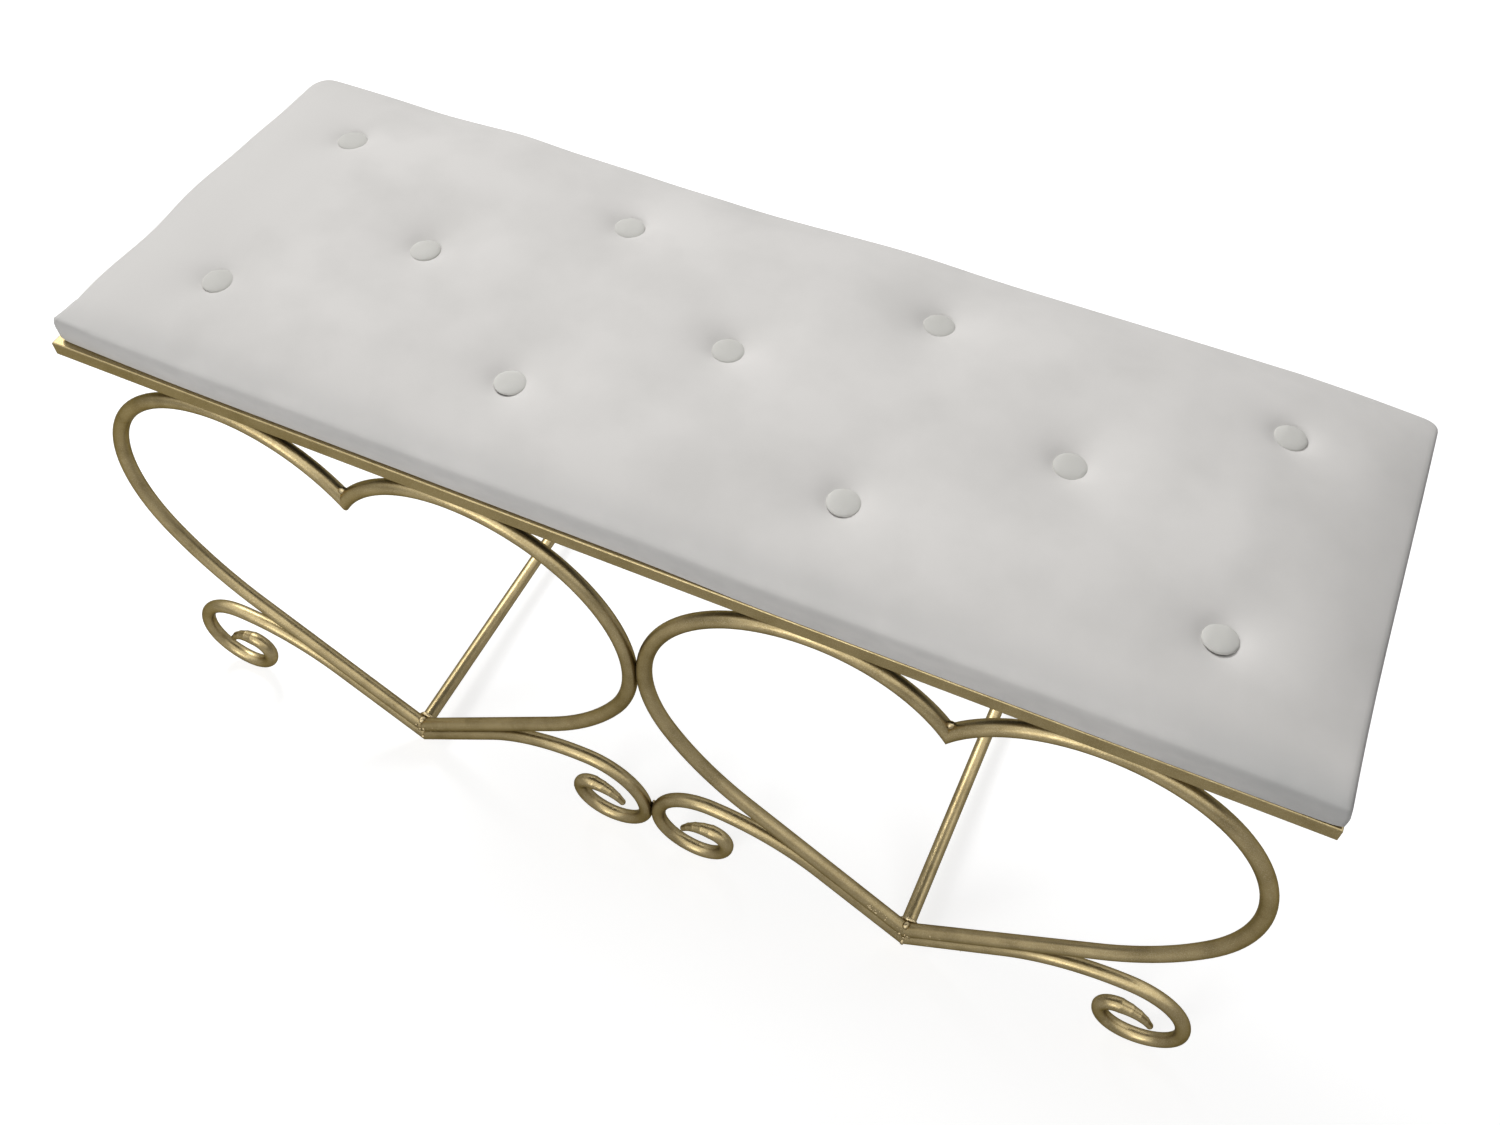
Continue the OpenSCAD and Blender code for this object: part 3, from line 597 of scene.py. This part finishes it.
wadding_t = 3.4 * mm
foam_grid = (110, 40)
recess_gap = 0.3 * mm
foam_rings = [(4.8 * mm, 15 * mm), (4.2 * mm, 11 * mm), (4.6 * mm, 6 * mm), (6 * mm, 1.6 * mm)]
block, edge = pad_skin(foam_grid, wadding_t, foam_rings)
tucked(block.verts)
recess_inset = full_half[0] - board_high.x - recess_gap
for height in (foam_rings[-1][1], board_high.z - rail_top + recess_gap):
    grown = bmesh.ops.extrude_edge_only(block, edges=edge)["geom"]
    edge = [e for e in grown if isinstance(e, bmesh.types.BMEdge) and e.is_boundary]
    for vert in grown:
        if isinstance(vert, bmesh.types.BMVert):
            x, y = vert.co.x, vert.co.y
            vert.co = (copysign(min(abs(x), full_half[0] - recess_inset), x),
                       copysign(min(abs(y), full_half[1] - recess_inset), y), rail_top + height)
bmesh.ops.edgeloop_fill(block, edges=edge)
bmesh.ops.recalc_face_normals(block, faces=block.faces)

pore_size = 1.4 * mm
cells, into, out = grouped("foam_cells", two_tones)
# Each pore is painted darker towards its middle, a painted shade in the open cells, and pitted by a bump.
pores = place(cells, "TexVoronoi", {}, {"Vector": into.outputs["Where"], "Scale": 1 / pore_size})
open_cell = place(cells, "MapRange", {},
                  {"Value": pores.outputs["Distance"], "From Min": 0.1, "From Max": 0.6})
pore_shaded_colour = place(cells, "Mix", {"data_type": "RGBA"},
                 {0: open_cell.outputs[0], 6: into.outputs["Dark"], 7: into.outputs["Light"]})
dry = place(cells, "MapRange", {}, {"Value": open_cell.outputs[0], "To Min": 0.95, "To Max": 0.8})
pitted = place(cells, "Bump", {},
               {"Height": pores.outputs["Distance"], "Strength": 0.5, "Distance": 0.5 * mm})
hand_out(cells, out, pore_shaded_colour.outputs[2], dry.outputs[0], pitted.outputs[0])
foam_yellow, _ = from_group("foam_yellow", cells,
                            {"Light": (0.80, 0.72, 0.42, 1), "Dark": (0.52, 0.44, 0.22, 1)})
foam = finished("cushion_foam", block, foam_yellow, ["foam_pad"])


# The cover: off-white velvet drawn over the wadding and turned under the board all round.
# Eleven buttons pull it down into soft round dimples.
# Its front corners are folded sharp, and its back ones are round.
cover_rings = [(0.8 * mm, 17.5 * mm), (0.1 * mm, 12 * mm), (0.1 * mm, 7 * mm), (0.1 * mm, 2.6 * mm),
               (0.2 * mm, 0.9 * mm), (0.9 * mm, 0.1 * mm), (4 * mm, 0), (12 * mm, 0), (26 * mm, 0)]
cover_grid = (148, 54)
cover, _ = pad_skin(cover_grid, 0, cover_rings)
bmesh.ops.recalc_face_normals(cover, faces=cover.faces)
cloth_t = 1.2 * mm
# The upright folds at the front corners stay sharp, and so does the edge of the top near the left one.
corner_zone, fold_h, fold_w, fold_crease = 6 * mm, 1.5 * mm, 3 * mm, 1
rim_zone, rim_bend, rim_crease = (40 * mm, 30 * mm), radians(12), 0.9
sharpness = cover.edges.layers.float.new("crease_edge")
for seam in cover.edges:
    a, b = (vert.co for vert in seam.verts)
    at_corner = all(abs(co.x) > full_half[0] - corner_zone and co.y < corner_zone - full_half[1]
                    for co in (a, b))
    upright = abs(a.z - b.z) > fold_h and hypot(a.x - b.x, a.y - b.y) < fold_w
    if at_corner and upright and min(a.z, b.z) > rail_top + 0.5 * mm:
        seam[sharpness] = fold_crease
    on_rim = min(a.z, b.z) > rail_top + 0.95 * edge_h and seam.calc_face_angle(0) > rim_bend
    if on_rim and max(a.x, b.x) < rim_zone[0] - full_half[0] and max(a.y, b.y) < rim_zone[1] - full_half[1]:
        seam[sharpness] = rim_crease


def swollen(piece, pinned, pressure, cap, evened, frames=20):
    """Blows a cloth up between its pinned points, evens the swelling out and keeps each move under a cap."""
    group = piece.vertex_groups.new(name="pinned")
    group.add(pinned, 1, "REPLACE")
    start = np.array([tuple(v.co) for v in piece.data.vertices])
    cloth = piece.modifiers.new("cloth", "CLOTH")
    cloth.settings.quality = 6
    cloth.settings.mass = 0.3
    cloth.settings.tension_stiffness = cloth.settings.compression_stiffness = 20
    cloth.settings.shear_stiffness = 8
    cloth.settings.bending_stiffness = 1.5
    cloth.settings.use_pressure = True
    cloth.settings.uniform_pressure_force = pressure
    cloth.settings.vertex_group_mass = "pinned"
    cloth.settings.effector_weights.gravity = 0
    cloth.collision_settings.use_collision = False
    scene = bpy.context.scene
    for step in range(1, frames + 1):
        scene.frame_set(step)
    graph = bpy.context.evaluated_depsgraph_get()
    blown = np.array([tuple(v.co) for v in piece.evaluated_get(graph).data.vertices])
    piece.modifiers.remove(cloth)
    scene.frame_set(1)
    moved = blown - start
    ends = np.array([tuple(e.vertices) for e in piece.data.edges])
    links = np.bincount(ends.ravel(), minlength=len(start))[:, None]
    for _ in range(evened):
        near = np.zeros_like(moved)
        np.add.at(near, ends[:, 0], moved[ends[:, 1]])
        np.add.at(near, ends[:, 1], moved[ends[:, 0]])
        moved = near / links
        moved[pinned] = 0
    far = np.linalg.norm(moved, axis=1, keepdims=True)
    moved *= np.minimum(1, cap / np.maximum(far, 1e-9))
    piece.data.vertices.foreach_set("co", (start + moved).astype(np.float32).ravel())
    piece.vertex_groups.remove(group)
    piece.data.update()


# The pile is brushed over in soft patches, its own tone, and the left end is painted darker with the same
# tone as painted shade.
# Down the sides it is darker in streaks, partly crushed pile and partly painted shade, and the top is painted
# darker towards its front edge and, most of all, at the right end of both, as painted shade. Places are in
# metres.
brushed_size, pile_size = 70 * mm, 0.8 * mm
# The left end takes the brushed tone between these places, as painted shade.
left_shade_from, left_shade_to = -0.33, -0.46
# Near the front the right end is painted darker still, a painted shade.
right_shade_from, right_shade_to, right_shade_share = 0.34, 0.48, 0.7
# The top is painted darker towards its front edge, a painted shade, between these places and by at most this
# share.
front_shade_from, front_shade_to, front_shade_most = -0.142, -0.182, 0.5
# The sides below a ragged height are darker in streaks: the streaks stand for crushed pile, and their
# darkness partly for painted shade.
band_from, band_to, band_ragged, band_ragged_size = -12 * mm, 7 * mm, 14 * mm, 26 * mm
streak_size, streak_most = 14 * mm, 0.25
nap, into, out = grouped(
    "velvet_nap", [("Light", "Color"), ("Brushed And Shaded", "Color"), ("Side", "Color"), ("Painted Shade Top", "Float")])
spot = into.outputs["Where"]
along, across, level = place(nap, "SeparateXYZ", {}, {0: spot}).outputs
brushed = place(nap, "MapRange", {},
                {"Value": mottled(nap, spot, brushed_size, 4), "From Min": 0.40, "From Max": 0.68})
# Painted shade: the left end is mixed towards the brushed tone.
left_shade = place(nap, "MapRange", {"interpolation_type": "SMOOTHSTEP"},
                 {"Value": along, "From Min": left_shade_from, "From Max": left_shade_to})
brushed_and_left_shade = place(nap, "Math", {"operation": "MAXIMUM"}, {0: brushed.outputs[0], 1: left_shade.outputs[0]})
velvet_colour = place(nap, "Mix", {"data_type": "RGBA"},
                      {0: brushed_and_left_shade.outputs[0], 6: into.outputs["Light"], 7: into.outputs["Brushed And Shaded"]})
ragged = place(nap, "Math", {"operation": "MULTIPLY_ADD"},
               {0: mottled(nap, spot, band_ragged_size, 4), 1: band_ragged, 2: level})
beneath = place(nap, "Math", {"operation": "SUBTRACT"}, {0: into.outputs["Painted Shade Top"], 1: ragged.outputs[0]})
side_shade_mask = place(nap, "MapRange", {"interpolation_type": "SMOOTHSTEP"},
                  {"Value": beneath.outputs[0], "From Min": band_from, "From Max": band_to})
drawn_out = place(nap, "Mapping", {}, {"Vector": spot, "Scale": (0.6, 0.6, 1.4)})
streaks = place(nap, "MapRange", {},
                {"Value": mottled(nap, drawn_out.outputs[0], streak_size, 5),
                 "From Min": 0.35, "From Max": 0.62, "To Min": streak_most, "To Max": 0.0})
# Painted shade towards the front edge of the top.
front_shade = place(nap, "MapRange", {"interpolation_type": "SMOOTHSTEP"},
                   {"Value": across, "From Min": front_shade_from, "From Max": front_shade_to})
front_shade_share = place(nap, "Math", {"operation": "MULTIPLY"}, {0: front_shade.outputs[0], 1: front_shade_most})
# Painted shade at the right end, near the front edge.
right_shade = place(nap, "MapRange", {"interpolation_type": "SMOOTHSTEP"},
                   {"Value": along, "From Min": right_shade_from, "From Max": right_shade_to,
                    "To Max": right_shade_share})
# Painted shade share: streaks on the sides, and the darkening towards the front edge on the top.
band_and_front_shade = place(nap, "Mix", {},
                   {0: side_shade_mask.outputs[0], 2: front_shade_share.outputs[0], 3: streaks.outputs[0]})
painted_shade_share = place(nap, "Math", {"operation": "MULTIPLY_ADD"},
                   {0: front_shade.outputs[0], 1: right_shade.outputs[0], 2: band_and_front_shade.outputs[0]})
shaded_velvet_tone = place(nap, "Mix", {"data_type": "RGBA"},
                    {0: painted_shade_share.outputs[0], 6: velvet_colour.outputs[2], 7: into.outputs["Side"]})
standing = place(nap, "Bump", {},
                 {"Height": mottled(nap, spot, pile_size, 3), "Strength": 0.25, "Distance": 0.3 * mm})
dulled = place(nap, "MapRange", {}, {"Value": brushed.outputs[0], "To Min": 0.78, "To Max": 0.9})
hand_out(nap, out, shaded_velvet_tone.outputs[2], dulled.outputs[0], standing.outputs[0])


def velvet(name, light, brushed_and_shade_tone, painted_shade_tone, painted_shade_top):
    """An upholstery velvet: its main colour, that of brushed pile and of the painted shade at the left end,
    and that of the painted shade down the sides below a height, towards the front and at the right end.
    """
    material, surface = from_group(name, nap, {"Light": (*light, 1), "Brushed And Shaded": (*brushed_and_shade_tone, 1),
                                               "Side": (*painted_shade_tone, 1), "Painted Shade Top": painted_shade_top})
    surface.inputs["Sheen Weight"].default_value = 0.2
    surface.inputs["Sheen Roughness"].default_value = 0.4
    surface.inputs["Specular IOR Level"].default_value = 0.2
    return material


# The painted shade on the sides reaches up to about this height.
painted_shade_top = rail_top + edge_h + 5 * mm
seat_velvet = velvet("seat_velvet", (0.685, 0.668, 0.648), (0.64, 0.625, 0.605), (0.50, 0.497, 0.487),
                     painted_shade_top)
seat = finished("velvet_cover", cover, seat_velvet, ["seat_cover"])
foot_h, pinned_r = 1.5 * mm, 0.85 * button_r
pinned = [v.index for v in seat.data.vertices if v.co.z - rail_top < foot_h or off_tuft(v.co) < pinned_r]
swollen(seat, pinned, pressure=2, cap=5 * mm, evened=24)

smooth = seat.modifiers.new("smooth", "SUBSURF")
smooth.levels = smooth.render_levels = 1
graph = bpy.context.evaluated_depsgraph_get()
seat.data = bpy.data.meshes.new_from_object(seat.evaluated_get(graph))
seat.modifiers.remove(smooth)
tucked(seat.data.vertices)
wall = seat.modifiers.new("cloth_thickness", "SOLIDIFY")
wall.thickness = cloth_t
wall.offset = -1


# The buttons: softly domed metal shells covered in the same velvet, which is drawn over the rim.
# Each is held down by twine from the loop on its back, so no two sit quite alike.
# The profile is radius and height in mm, from the middle of the top to the end of the loop.
button_profile = [(0, 3.4), (4, 3.35), (7, 3.15), (9.5, 2.8), (11.2, 2.3), (12.0, 1.85), (12.4, 1.3),
                  (12.4, 0.6), (12.0, 0.1), (10.5, 0), (2.2, 0), (2.0, -0.6), (2.0, -9), (0, -9)]
# The buttons' velvet is a little yellower than the seat's and painted darker, a painted shade for the hollows
# they sit in.
shaded_button_velvet = velvet("shaded_button_velvet", (0.60, 0.592, 0.562), (0.56, 0.552, 0.522), (0.56, 0.552, 0.522), 0)
button_steps = 48
most_tilt = 3
dent, dent_size, dented_from = 0.3 * mm, 7 * mm, 2 * mm
pleats, pleat_depth = 14, 0.006
chance = random.Random(3)


def turned(profile, steps):
    """A solid of revolution about Z, from an open profile that starts and ends on the axis."""
    shape = bmesh.new()
    line = [shape.verts.new((r * mm, 0, z * mm)) for r, z in profile]
    edges = [shape.edges.new(pair) for pair in zip(line, line[1:])]
    bmesh.ops.spin(shape, geom=line + edges, cent=(0, 0, 0), axis=(0, 0, 1), angle=2 * pi, steps=steps,
                   use_merge=True)
    bmesh.ops.remove_doubles(shape, verts=shape.verts, dist=0.001 * mm)
    bmesh.ops.recalc_face_normals(shape, faces=shape.faces)
    return shape


for name, tuft in tufts.items():
    button = turned(button_profile, button_steps)
    lean = Matrix.Rotation(radians(chance.uniform(-most_tilt, most_tilt)), 3, "X")
    tilt = lean @ Matrix.Rotation(radians(chance.uniform(-most_tilt, most_tilt)), 3, "Y")
    crumple = chance.uniform(0, 100)
    for vert in button.verts:
        x, y, z = vert.co
        if z > dented_from:
            vert.co.z += dent * noise.noise(Vector((x / dent_size, y / dent_size, crumple)))
        if z > 0:
            vert.co *= 1 + pleat_depth * sin(pleats * atan2(y, x) + crumple)
    bmesh.ops.rotate(button, verts=button.verts, matrix=tilt, cent=(0, 0, 0))
    bmesh.ops.translate(button, verts=button.verts, vec=tuft)
    finished(name.replace("button", "velvet_button"), button, shaded_button_velvet, [name])


# The twines and their washers: waxed twine runs from each button down through the foam and the board.
# It is knotted at a zinc-plated washer under the board. The screws through the tabs are plated too.
lay, into, out = grouped("twisted_lay", two_tones)
# The twist's stripes are darker in the grooves between strands, a painted shade, and ridged by a bump.
strands = place(lay, "TexWave", {"bands_direction": "DIAGONAL"},
                {"Vector": into.outputs["Where"], "Scale": 180, "Distortion": 0.6})
waxed = place(lay, "Mix", {"data_type": "RGBA"},
              {0: strands.outputs["Fac"], 6: into.outputs["Dark"], 7: into.outputs["Light"]})
greasy = place(lay, "MapRange", {}, {"Value": strands.outputs["Fac"], "To Min": 0.6, "To Max": 0.45})
ridged = place(lay, "Bump", {}, {"Height": strands.outputs["Fac"], "Strength": 0.6, "Distance": 0.3 * mm})
hand_out(lay, out, waxed.outputs[2], greasy.outputs[0], ridged.outputs[0])
waxed_twine, _ = from_group("waxed_twine", lay,
                            {"Light": (0.62, 0.55, 0.42, 1), "Dark": (0.40, 0.34, 0.24, 1)})
painted(["tuft_twines"], waxed_twine)

spangle_size, scuff_size = 2.5 * mm, 0.4 * mm
plating, into, out = grouped("zinc_plating", two_tones)
spangle = mottled(plating, into.outputs["Where"], spangle_size, 3)
tarnish = place(plating, "MapRange", {}, {"Value": spangle, "From Min": 0.4, "From Max": 0.7})
plated = place(plating, "Mix", {"data_type": "RGBA"},
               {0: tarnish.outputs[0], 6: into.outputs["Light"], 7: into.outputs["Dark"]})
bright = place(plating, "MapRange", {}, {"Value": spangle, "To Min": 0.2, "To Max": 0.45})
scuffs = place(plating, "Bump", {},
               {"Height": mottled(plating, into.outputs["Where"], scuff_size, 2),
                "Strength": 0.15, "Distance": 0.1 * mm})
hand_out(plating, out, plated.outputs[2], bright.outputs[0], scuffs.outputs[0])
zinc, surface = from_group("zinc", plating, {"Light": (0.62, 0.63, 0.66, 1), "Dark": (0.44, 0.45, 0.46, 1)})
surface.inputs["Metallic"].default_value = 1
painted(["seat_screws", "twine_washers"], zinc)


# The dust cover: thin black non-woven cloth that closes the underside, between the seat and its tabs.
# It is cut to fit inside the rails and stapled up to the board, and it hangs a hair slack in between.
dust_low, dust_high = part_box("dust_cover")
dust_l, dust_w = dust_high.x - dust_low.x, dust_high.y - dust_low.y
dust_z = (dust_low.z + dust_high.z) / 2
tab_names = [n for n in nodes if n.startswith("tab_")]
slack, slack_from_edge = 1.6 * mm, 60 * mm
ripple_share, ripple_along, ripple_across = 0.6, 0.09, 0.05
underside = bmesh.new()
bmesh.ops.create_grid(underside, x_segments=90, y_segments=30, size=0.5)
for vert in underside.verts:
    u, v = vert.co.x, vert.co.y
    x, y = u * dust_l, v * dust_w
    free = min(1, (0.5 * dust_l - abs(x)) / slack_from_edge, (0.5 * dust_w - abs(y)) / slack_from_edge)
    ripple = 1 + ripple_share * noise.noise(Vector((x / ripple_along, y / ripple_across, 0)))
    vert.co = (x, y, dust_z - slack * max(0, free) ** 1.5 * ripple)
dot_size = 1.6 * mm
felt, into, out = grouped("spun_felt", two_tones)
dots = place(felt, "TexVoronoi", {"distance": "CHEBYCHEV"},
             {"Vector": into.outputs["Where"], "Scale": 1 / dot_size, "Randomness": 0.25})
pressed = place(felt, "MapRange", {}, {"Value": dots.outputs["Distance"], "From Min": 0.15, "From Max": 0.4})
sooty = place(felt, "Mix", {"data_type": "RGBA"},
              {0: pressed.outputs[0], 6: into.outputs["Dark"], 7: into.outputs["Light"]})
fleecy = place(felt, "MapRange", {}, {"Value": pressed.outputs[0], "To Min": 0.65, "To Max": 0.95})
dimpled = place(felt, "Bump", {}, {"Height": pressed.outputs[0], "Strength": 0.5, "Distance": 0.2 * mm})
hand_out(felt, out, sooty.outputs[2], fleecy.outputs[0], dimpled.outputs[0])
dust_black, _ = from_group("dust_black", felt,
                           {"Light": (0.030, 0.030, 0.033, 1), "Dark": (0.014, 0.014, 0.016, 1)})
dust_sheet = finished("dust_sheet", underside, dust_black, ["dust_cover"])
dust_t = 0.5 * mm
wall = dust_sheet.modifiers.new("cloth_thickness", "SOLIDIFY")
wall.thickness = dust_t
wall.offset = 0

# Fine wire staples hold it up all round, but not where the tabs are. They stand a little out of line.
staple_l, staple_w, staple_t, staple_bend_r = 10 * mm, 1.1 * mm, 0.5 * mm, 0.3 * mm
staple_row, staple_end, staple_step = 0.158, 0.478, 0.055
side_staples, end_staples = 8, 2
stray_along, stray_across, stray_turn = 4, 1.5, 7
places = [(i * staple_step, side * staple_row, 0)
          for i in range(-side_staples, side_staples + 1) for side in (-1, 1)]
places += [(side * staple_end, i * staple_step, 90)
           for i in range(-end_staples, end_staples + 1) for side in (-1, 1)]
tab_boxes = [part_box(n) for n in tab_names]
staples = bmesh.new()
for x, y, turn in places:
    if any(low.x - staple_l < x < high.x + staple_l and low.y - staple_l < y < high.y + staple_l
           for low, high in tab_boxes):
        continue
    x += chance.uniform(-stray_along, stray_along) * mm
    y += chance.uniform(-stray_across, stray_across) * mm
    wire = bmesh.ops.create_cube(staples, size=1)["verts"]
    bmesh.ops.scale(staples, verts=wire, vec=(staple_l, staple_w, staple_t))
    bent = [edge for edge in {e for vert in wire for e in vert.link_edges}
            if abs(edge.verts[0].co.x - edge.verts[1].co.x) < staple_t
            and max(end.co.z for end in edge.verts) < 0]
    made = bmesh.ops.bevel(staples, geom=bent, offset=staple_bend_r, segments=2, profile=0.5,
                           affect="EDGES", material=-1)
    whole = list(set(v for v in wire if v.is_valid) | {v for f in made["faces"] for v in f.verts})
    turned_by = radians(turn + chance.uniform(-stray_turn, stray_turn))
    bmesh.ops.rotate(staples, verts=whole, cent=(0, 0, 0), matrix=Matrix.Rotation(turned_by, 3, "Z"))
    bmesh.ops.translate(staples, verts=whole, vec=(x, y, dust_low.z - staple_t / 2))
finished("wire_staples", staples, zinc)
